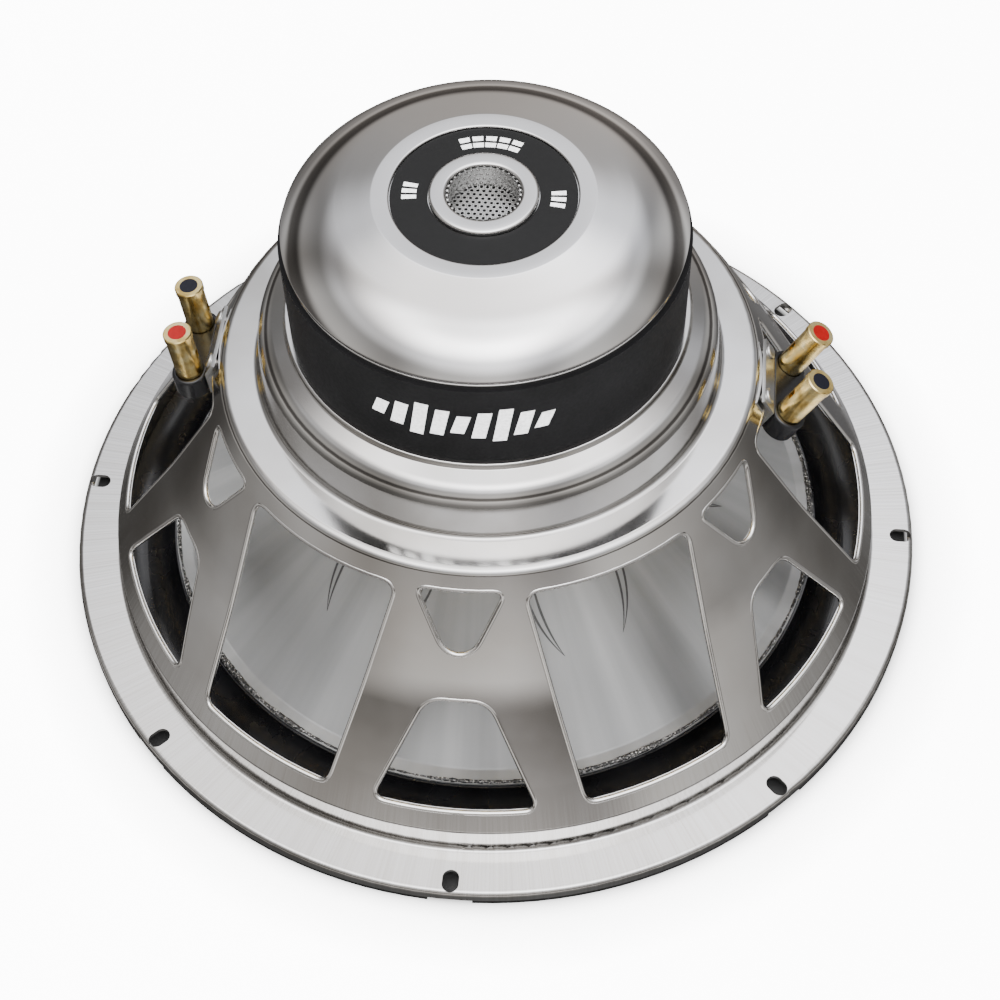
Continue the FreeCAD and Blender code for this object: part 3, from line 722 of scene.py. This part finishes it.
def make_surround():
    profile = seam_profile("surround")
    inner = new_piece("surround_inner", lathe(clipped(profile, trough_r, True)), "surround_rubber", None)
    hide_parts("surround")
    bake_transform(inner)
    new_piece("surround_outer", lathe(clipped(profile, trough_r, False)), "surround_rubber", "frame")


def make_spider():
    cloth = new_piece("spider_cloth", lathe(seam_profile("spider")), "spider_cloth", None)
    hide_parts("spider")
    braids = free_copy("lead_braids", "laced_leads")
    for piece in (cloth, braids):
        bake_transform(piece)


def cone_surface(profile):
    """A function for the height of the cone's rear surface at a radius, from its section."""
    edge_z = max(profile)[1]

    def height(r):
        best = None
        for (r0, z0), (r1, z1) in zip(profile, profile[1:] + profile[:1]):
            if min(r0, r1) <= r <= max(r0, r1) and abs(r1 - r0) > 1e-7:
                z = z0 + (z1 - z0) * (r - r0) / (r1 - r0)
                best = z if best is None else max(best, z)
        return best if best is not None else edge_z

    return height


def make_cone():
    turned_copy("cone_paper", "cone", "cone_assembly")
    height = cone_surface(seam_profile("cone"))
    glue_bead = bmesh.new()
    edge_r = outer_radius("cone") - glue_inset
    rings = []
    for k in range(glue_points):
        angle = TURN * k / glue_points
        swell = (0.55 + 0.2 * math.sin(5 * angle + 1.1) + 0.16 * math.sin(23 * angle)
                 + random.uniform(-0.15, 0.15)) * MM
        centre_z = height(edge_r) + 0.1 * MM
        ring = []
        for j in range(glue_around):
            turn = TURN * j / glue_around
            r = edge_r + glue_width * swell * math.cos(turn)
            ring.append(glue_bead.verts.new((r * math.cos(angle), r * math.sin(angle),
                                             centre_z + swell * math.sin(turn))))
        rings.append(ring)
    for k in range(glue_points):
        here, after = rings[k], rings[(k + 1) % glue_points]
        for j in range(glue_around):
            i = (j + 1) % glue_around
            glue_bead.faces.new((here[j], here[i], after[i], after[j]))
    new_piece("cone_edge_glue", glue_bead, "silver_paper", "cone_assembly", MATERIALS["glue"])
    strokes = bmesh.new()
    for k in range(strokes_count):
        start = TURN * (k + 0.5) / strokes_count
        bend = stroke_bend if k % 2 else -stroke_bend
        stroke(strokes, height, start, stroke_inner_r, stroke_outer_r, bend)
        stroke(strokes, height, start + stroke_gap, stroke_inner_r, stroke_outer_r, bend - stroke_gap)
    new_piece("cone_strokes", strokes, "silver_paper", "cone_assembly", MATERIALS["stroke_ink"])


def stroke(bm, height, angle, inner_r, outer_r, bend, width=0.85 * MM, steps=20):
    """A thin curved line of print on the cone, thinning to a point at both ends."""
    rows = []
    for k in range(steps + 1):
        share = k / steps
        r = inner_r + (outer_r - inner_r) * share
        turn = angle + bend * share * share
        half = width / 2 * math.sin(math.pi * (0.04 + 0.92 * share)) + 0.02 * MM
        z = height(r) + 0.06 * MM
        row = []
        for side in (-1, 1):
            for lift in (0.0, 0.05 * MM):
                a = turn + side * half / r
                row.append(bm.verts.new((r * math.cos(a), r * math.sin(a), z + lift)))
        rows.append(row)
    for here, after in zip(rows, rows[1:]):
        for i, j in ((0, 1), (1, 3), (3, 2), (2, 0)):
            bm.faces.new((here[i], here[j], after[j], after[i]))
    for row, order in ((rows[0], (0, 2, 3, 1)), (rows[-1], (0, 1, 3, 2))):
        bm.faces.new([row[i] for i in order])


# ---------------------------------------------------------------- motor
print_thick = 0.12 * MM
label_print_thick = 0.08 * MM
wide_mark_size, tall_mark_size = (3.3 * MM, 1.9 * MM), (1.6 * MM, 4.5 * MM)
wide_mark_pitch, tall_mark_pitch = 0.175, 0.11      # angles
wide_mark_offset = 1.4 * MM                         # of the two rows from the ring's middle


def block_on_cylinder(bm, corners, radius, thick, steps=10):
    """A thin raised patch on a cylinder about Z, from (angle, z) corners: low, low, high, high."""
    (a0, z0), (a1, z1), (a2, z2), (a3, z3) = corners
    layers = []
    for lift in (0.0, thick):
        grid = []
        for k in range(steps + 1):
            share = k / steps
            bottom = (a0 + (a1 - a0) * share, z0 + (z1 - z0) * share)
            top = (a3 + (a2 - a3) * share, z3 + (z2 - z3) * share)
            grid.append([bm.verts.new(((radius + lift) * math.cos(a), (radius + lift) * math.sin(a), z))
                         for a, z in (bottom, top)])
        layers.append(grid)
    under, over = layers
    for k in range(steps):
        bm.faces.new((over[k][0], over[k + 1][0], over[k + 1][1], over[k][1]))
        bm.faces.new((under[k][0], under[k][1], under[k + 1][1], under[k + 1][0]))
        for row in (0, 1):
            bm.faces.new((under[k][row], under[k + 1][row], over[k + 1][row], over[k][row]))
    for k in (0, steps):
        bm.faces.new((under[k][0], over[k][0], over[k][1], under[k][1]))


def make_boot_emblem():
    """A plain bar pattern on the front of the boot."""
    bm = bmesh.new()
    heights = (0.45, 0.7, 1.0, 0.8, 0.55, 0.8, 1.0, 0.7, 0.45)
    pitch, width, lean = 0.099, 0.066, 0.018
    middle_z = boot_low_z + 17.5 * MM
    front = -math.pi / 2 - 0.02
    for k, share in enumerate(heights):
        a = front + (k - (len(heights) - 1) / 2) * pitch
        half = 7.5 * MM * share
        corners = [(a - width / 2 - lean, middle_z - half), (a + width / 2 - lean, middle_z - half),
                   (a + width / 2 + lean, middle_z + half), (a - width / 2 + lean, middle_z + half)]
        block_on_cylinder(bm, corners, boot_r, print_thick)
    new_piece("boot_emblem", bm, "silver_paper", "frame", MATERIALS["silver_print"])


def flat_bar(bm, radius, angle, length, width, z, thick):
    """A small raised bar on a level ring, its length across the radius."""
    corners = []
    for along, across in ((-1, -1), (1, -1), (1, 1), (-1, 1)):
        r = radius + across * width / 2
        a = angle + along * length / 2 / radius
        corners.append((r * math.cos(a), r * math.sin(a)))
    under = [bm.verts.new((x, y, z)) for x, y in corners]
    over = [bm.verts.new((x, y, z + thick)) for x, y in corners]
    bm.faces.new(over)
    bm.faces.new(under[::-1])
    for k in range(4):
        j = (k + 1) % 4
        bm.faces.new((under[k], under[j], over[j], over[k]))


def make_label_marks():
    """Plain bars on the label ring: a wide group at the back, a small one on each side."""
    bm = bmesh.new()
    middle_r = (label_r + collar_r) / 2
    for k in range(5):
        angle = math.pi / 2 + (k - 2) * wide_mark_pitch
        for row in (-1, 1):
            flat_bar(bm, middle_r + row * wide_mark_offset, angle, *wide_mark_size, label_top_z,
                     label_print_thick)
    for centre in (0.0, math.pi):
        for k in range(3):
            flat_bar(bm, middle_r, centre + (k - 1) * tall_mark_pitch, *tall_mark_size, label_top_z,
                     label_print_thick)
    new_piece("label_marks", bm, "silver_paper", "frame", MATERIALS["white_print"])


def make_vent_mesh():
    """Perforated cup in the vent: a close pattern of round holes in its floor and wall."""
    cup_r = outer_radius("vent_mesh")
    top, floor_z = high("vent_mesh").z, low("vent_mesh").z
    wall = 0.5 * MM
    pitch, hole = 1.9 * MM, 0.58 * MM
    bm = bmesh.new()
    reach = int(cup_r / pitch) + 1
    sides = 12
    for i in range(-reach, reach + 1):
        for j in range(-reach, reach + 1):
            x, y = pitch * (i + j / 2), pitch * j * math.sqrt(3) / 2
            if math.hypot(x, y) > cup_r - 0.45 * pitch:
                continue
            perforated_cell(bm, (x, y), floor_z, pitch, hole, wall, sides, cup_r - wall)
    bmesh.ops.remove_doubles(bm, verts=bm.verts, dist=0.01 * MM)
    around = 36
    rows = int((top - floor_z) / (pitch * 0.9))
    step_z = (top - floor_z) / rows
    for row in range(rows):
        for k in range(around):
            angle = TURN * (k + 0.5 * (row % 2)) / around
            wall_cell(bm, angle, floor_z + step_z * (row + 0.5), TURN / around, step_z, hole, cup_r, wall)
    bmesh.ops.remove_doubles(bm, verts=bm.verts, dist=0.01 * MM)
    cup = new_piece("vent_mesh_cup", bm, "mesh_steel", "frame")
    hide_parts("vent_mesh")


def perforated_cell(bm, centre, z, pitch, hole, thick, sides, limit):
    """One six-sided cell of the floor with a round hole."""
    layers = []
    for height in (z, z + thick):
        outer, inner = [], []
        for k in range(sides):
            angle = TURN * k / sides + math.pi / 6
            sector = angle % (math.pi / 3) - math.pi / 6
            reach = pitch / 2 / math.cos(sector)
            x, y = centre[0] + reach * math.cos(angle), centre[1] + reach * math.sin(angle)
            size = math.hypot(x, y)
            if size > limit:
                x, y = x * limit / size, y * limit / size
            outer.append(bm.verts.new((x, y, height)))
            x, y = centre[0] + hole * math.cos(angle), centre[1] + hole * math.sin(angle)
            inner.append(bm.verts.new((x, y, height)))
        layers.append((outer, inner))
    (low_out, low_in), (high_out, high_in) = layers
    for k in range(sides):
        j = (k + 1) % sides
        bm.faces.new((high_out[k], high_out[j], high_in[j], high_in[k]))
        bm.faces.new((low_out[k], low_in[k], low_in[j], low_out[j]))
        bm.faces.new((low_in[k], high_in[k], high_in[j], low_in[j]))


def wall_cell(bm, angle, z, swing, height, hole, radius, thick, sides=12):
    """One cell of the cup's wall with a round hole."""
    layers = []
    for r in (radius - thick, radius):
        outer, inner = [], []
        for k in range(sides):
            turn = TURN * (k + 0.5) / sides
            c, s = math.cos(turn), math.sin(turn)
            reach = 1 / max(abs(c), abs(s))
            spots = ((c * reach * swing / 2, s * reach * height / 2), (c * hole / radius, s * hole))
            for (da, dz), ring in zip(spots, (outer, inner)):
                a = angle + da
                ring.append(bm.verts.new((r * math.cos(a), r * math.sin(a), z + dz)))
        layers.append((outer, inner))
    (near_out, near_in), (far_out, far_in) = layers
    for k in range(sides):
        j = (k + 1) % sides
        bm.faces.new((far_out[k], far_out[j], far_in[j], far_in[k]))
        bm.faces.new((near_out[k], near_in[k], near_in[j], near_out[j]))
        bm.faces.new((near_in[k], far_in[k], far_in[j], near_in[j]))


def make_motor():
    for name, node in (("motor_cap_shell", "motor_cap"), ("vent_collar_ring", "vent_collar"),
                       ("magnet_boot_sleeve", "magnet_boot"), ("label_disc", "label_ring")):
        turned_copy(name, node)
    make_boot_emblem()
    make_label_marks()
    make_vent_mesh()


# ---------------------------------------------------------------- terminals
def make_springs():
    """Each return spring as a copy of its imported mesh, riding on the frame with mesh data of its own."""
    for side in SIDES:
        for colour in COLOURS:
            end = "_" + side + "_" + colour
            piece = free_copy("barrel_spring" + end, "return_spring" + end)
            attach(piece, "frame")
            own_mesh(piece)


dress_cad_nodes()
make_basket()
make_surround()
make_spider()
make_cone()
make_motor()
make_springs()


# ---------------------------------------------------------------- floor, light and camera
FLOOR_RADIUS = 0.85
FLOOR_GLOW = 8.0
SHADE_START, SHADE_END = 0.985, 1.16        # of the flange's radius, where the floor's painted shadow fades


def make_floor():
    """Pale paper that glows a little away from the part; under the part, where it keeps light off, colour
    and glow are darkened into a painted shadow.
    """
    bm = bmesh.new()
    bmesh.ops.create_circle(bm, cap_ends=True, segments=96, radius=FLOOR_RADIUS)
    mesh = bpy.data.meshes.new("floor")
    bm.to_mesh(mesh)
    bm.free()
    floor = bpy.data.objects.new("floor", mesh)
    bpy.context.scene.collection.objects.link(floor)
    shader = Shader("floor_paper", (0.93, 0.93, 0.93), 0.0, 0.6)
    from_axis = shader.radius()
    under, clear = outer_radius("basket") * SHADE_START, outer_radius("basket") * SHADE_END
    # Colour and glow ramp from near black under the flange to pale past it: a painted shadow.
    shader.colour_from(shader.stepped(from_axis, under, clear),
                       [(0.0, 0.02), (0.12, 0.6), (0.3, 0.9), (1.0, 0.93)])
    glow_and_painted_shadow = shader.ramp(shader.stepped(from_axis, under, clear), [(0.0, 0.0), (0.35, 0.55), (1.0, 1.0)])
    shader.link(glow_and_painted_shadow, shader.bsdf.inputs["Emission Color"])
    shader.set("Emission Strength", FLOOR_GLOW)
    floor.data.materials.append(shader.material)
    floor.visible_glossy = False


def area_light(name, place, target, size, power, colour=(1, 1, 1)):
    data = bpy.data.lights.new(name, "AREA")
    data.shape = "RECTANGLE"
    data.size, data.size_y = size
    data.energy = power
    data.color = colour
    thing = bpy.data.objects.new(name, data)
    bpy.context.scene.collection.objects.link(thing)
    thing.location = place
    aim = Vector(target) - Vector(place)
    thing.rotation_euler = aim.to_track_quat("-Z", "Y").to_euler()
    return thing


BACKDROP = (9.5, 9.5, 9.5)
HEIGHT_STOPS = [(-1.0, (0.12, 0.12, 0.12)), (-0.45, (0.22, 0.215, 0.21)), (-0.20, (0.46, 0.455, 0.45)),
                (-0.06, (0.78, 0.77, 0.755)), (0.05, (0.15, 0.143, 0.137)), (0.20, (0.10, 0.095, 0.092)),
                (0.34, (0.62, 0.61, 0.60)), (0.55, (0.55, 0.55, 0.55)), (0.72, (1.5, 1.52, 1.58)),
                (0.92, (5.5, 5.5, 5.6)), (1.0, (3.4, 3.4, 3.45))]
DEPTH_STOPS = [(-1.0, (1.5, 1.46, 1.42)), (-0.55, (1.15, 1.14, 1.13)), (0.0, (0.95, 0.945, 0.94)),
               (0.35, (0.45, 0.44, 0.43)), (0.62, (0.85, 0.855, 0.87)), (1.0, (0.80, 0.75, 0.71))]
ACROSS_STOPS = [(-1.0, (1.0, 0.99, 0.98)), (-0.60, (0.50, 0.49, 0.48)), (-0.22, (0.95, 0.95, 0.95)),
                (0.15, (1.20, 1.20, 1.21)), (0.48, (0.75, 0.75, 0.76)), (0.70, (1.2, 1.2, 1.2)),
                (1.0, (0.90, 0.89, 0.88))]


def make_world():
    """Soft studio surroundings for reflections, and a plain pale backdrop for direct sight."""
    world = bpy.data.worlds.new("studio")
    bpy.context.scene.world = world
    world.use_nodes = True
    tree = world.node_tree
    background = tree.nodes["Background"]

    def add(kind, **settings):
        node = tree.nodes.new(kind)
        for key, value in settings.items():
            setattr(node, key, value)
        return node

    def shades(value, stops):
        """Colour by one part of the direction, from -1 to 1."""
        spread = add("ShaderNodeMapRange")
        spread.inputs["From Min"].default_value = -1.0
        tree.links.new(value, spread.inputs["Value"])
        node = add("ShaderNodeValToRGB")
        node.color_ramp.interpolation = "EASE"
        while len(node.color_ramp.elements) < len(stops):
            node.color_ramp.elements.new(0.5)
        for element, (position, colour) in zip(node.color_ramp.elements, stops):
            element.position = (position + 1) / 2
            element.color = (*colour, 1.0)
        tree.links.new(spread.outputs["Result"], node.inputs["Fac"])
        return node.outputs["Color"]

    def times(a, b):
        node = add("ShaderNodeMix", data_type="RGBA", blend_type="MULTIPLY")
        node.inputs["Factor"].default_value = 1.0
        tree.links.new(a, node.inputs["A"])
        tree.links.new(b, node.inputs["B"])
        return node.outputs["Result"]

    split = add("ShaderNodeSeparateXYZ")
    tree.links.new(add("ShaderNodeTexCoord").outputs["Generated"], split.inputs[0])
    across, depth, height = split.outputs
    upright = times(shades(height, HEIGHT_STOPS), shades(depth, DEPTH_STOPS))
    room = times(upright, shades(across, ACROSS_STOPS))
    sight = add("ShaderNodeMix", data_type="RGBA")
    tree.links.new(add("ShaderNodeLightPath").outputs["Is Camera Ray"], sight.inputs["Factor"])
    tree.links.new(room, sight.inputs["A"])
    sight.inputs["B"].default_value = (*BACKDROP, 1.0)
    tree.links.new(sight.outputs["Result"], background.inputs["Color"])


def make_lights():
    centre = (0, 0, 0.08)
    for name, place, size, power in (("key", (-0.9, 0.5, 1.6), (1.6, 1.2), 95),
                                     ("fill", (1.2, -0.7, 1.1), (1.0, 1.2), 42),
                                     ("front", (-0.2, -1.5, 0.9), (1.6, 0.6), 22)):
        area_light(name, place, centre, size, power).visible_glossy = False


def make_camera():
    """Tall view from the front and a little to the right, with a slight roll."""
    azimuth, elevation, roll = (math.radians(a) for a in (6.848, 54.788, -1.721))
    distance = 716.682 * MM
    slide, rise = 2.053 * MM, 2.887 * MM
    right = Vector((math.cos(azimuth), math.sin(azimuth), 0))
    back = Vector((math.sin(azimuth) * math.cos(elevation), -math.cos(azimuth) * math.cos(elevation),
                   math.sin(elevation)))
    up = back.cross(right)
    rolled_right = right * math.cos(roll) + up * math.sin(roll)
    rolled_up = up * math.cos(roll) - right * math.sin(roll)
    place = Vector((0, 0, seat_z)) + back * distance + rolled_right * slide + rolled_up * rise
    data = bpy.data.cameras.new("camera")
    data.lens = 68.756
    data.sensor_width = 36.0
    thing = bpy.data.objects.new("camera", data)
    bpy.context.scene.collection.objects.link(thing)
    turn = Matrix((rolled_right, rolled_up, back)).transposed().to_4x4()
    thing.matrix_world = Matrix.Translation(place) @ turn
    bpy.context.scene.camera = thing


make_floor()
make_world()
make_lights()
make_camera()
